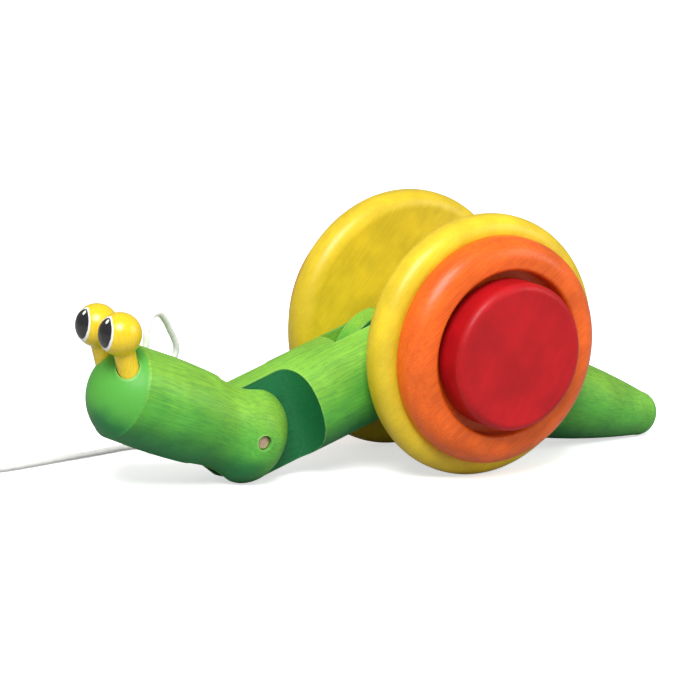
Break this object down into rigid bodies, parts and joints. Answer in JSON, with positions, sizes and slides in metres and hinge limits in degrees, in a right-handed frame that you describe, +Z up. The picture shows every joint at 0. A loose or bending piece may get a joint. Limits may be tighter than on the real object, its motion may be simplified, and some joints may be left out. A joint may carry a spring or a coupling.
{
  "type": "pull along toy",
  "caption": "Wooden pull along snail with hinged head, body and tail, and a shell of stacked discs turning on an off-centre axle.",
  "frame": {"origin": "middle of the length and width, on the floor that the toy stands on; the cord is left out", "axes": "+X points from the head to the tail, +Z up, so the snail's left side faces -Y"},
  "size_m": [0.3472, 0.1146, 0.105],
  "materials": {
    "green_wood": "green stain with the grain showing, satin lacquer",
    "yellow_wood": "yellow stain under gloss lacquer",
    "orange_wood": "orange stain under gloss lacquer",
    "red_wood": "red stain with the grain showing, satin lacquer",
    "eye_paint": "yellow gloss paint with white and black eye patches",
    "plain_wood": "bare beech dowel",
    "cord": "white braided cord"
  },
  "bodies": {
    "head": {"head_block": "green_wood", "eye_left": "eye_paint", "eye_right": "eye_paint", "neck_pin": "plain_wood", "cord_knot": "cord", "cord_lead": "cord", "cord_coil": "cord", "cord_tail": "cord", "cord_end_knot": "cord"},
    "body": {"body_block": "green_wood"},
    "tail": {"tail_block": "green_wood"},
    "shell": {"axle": "plain_wood", "wheel_left": "yellow_wood", "wheel_right": "yellow_wood", "ring_left": "orange_wood", "ring_right": "orange_wood", "hub_disc_left": "red_wood", "hub_disc_right": "red_wood"}
  },
  "joints": [
    {"name": "neck_hinge", "type": "hinge", "parent": "head", "child": "body", "pos_m": [-0.06792, 0, 0.01904], "axis": [0, -1, 0], "range_deg": [-14, 32]},
    {"name": "tail_hinge", "type": "hinge", "parent": "body", "child": "tail", "pos_m": [-0.00098, 0, 0.04209], "axis": [0, 1, 0], "range_deg": [-25, 50]},
    {"name": "axle_spin", "type": "hinge", "parent": "body", "child": "shell", "pos_m": [-0.00098, 0, 0.04209], "axis": [0, 1, 0], "continuous": true}
  ]
}
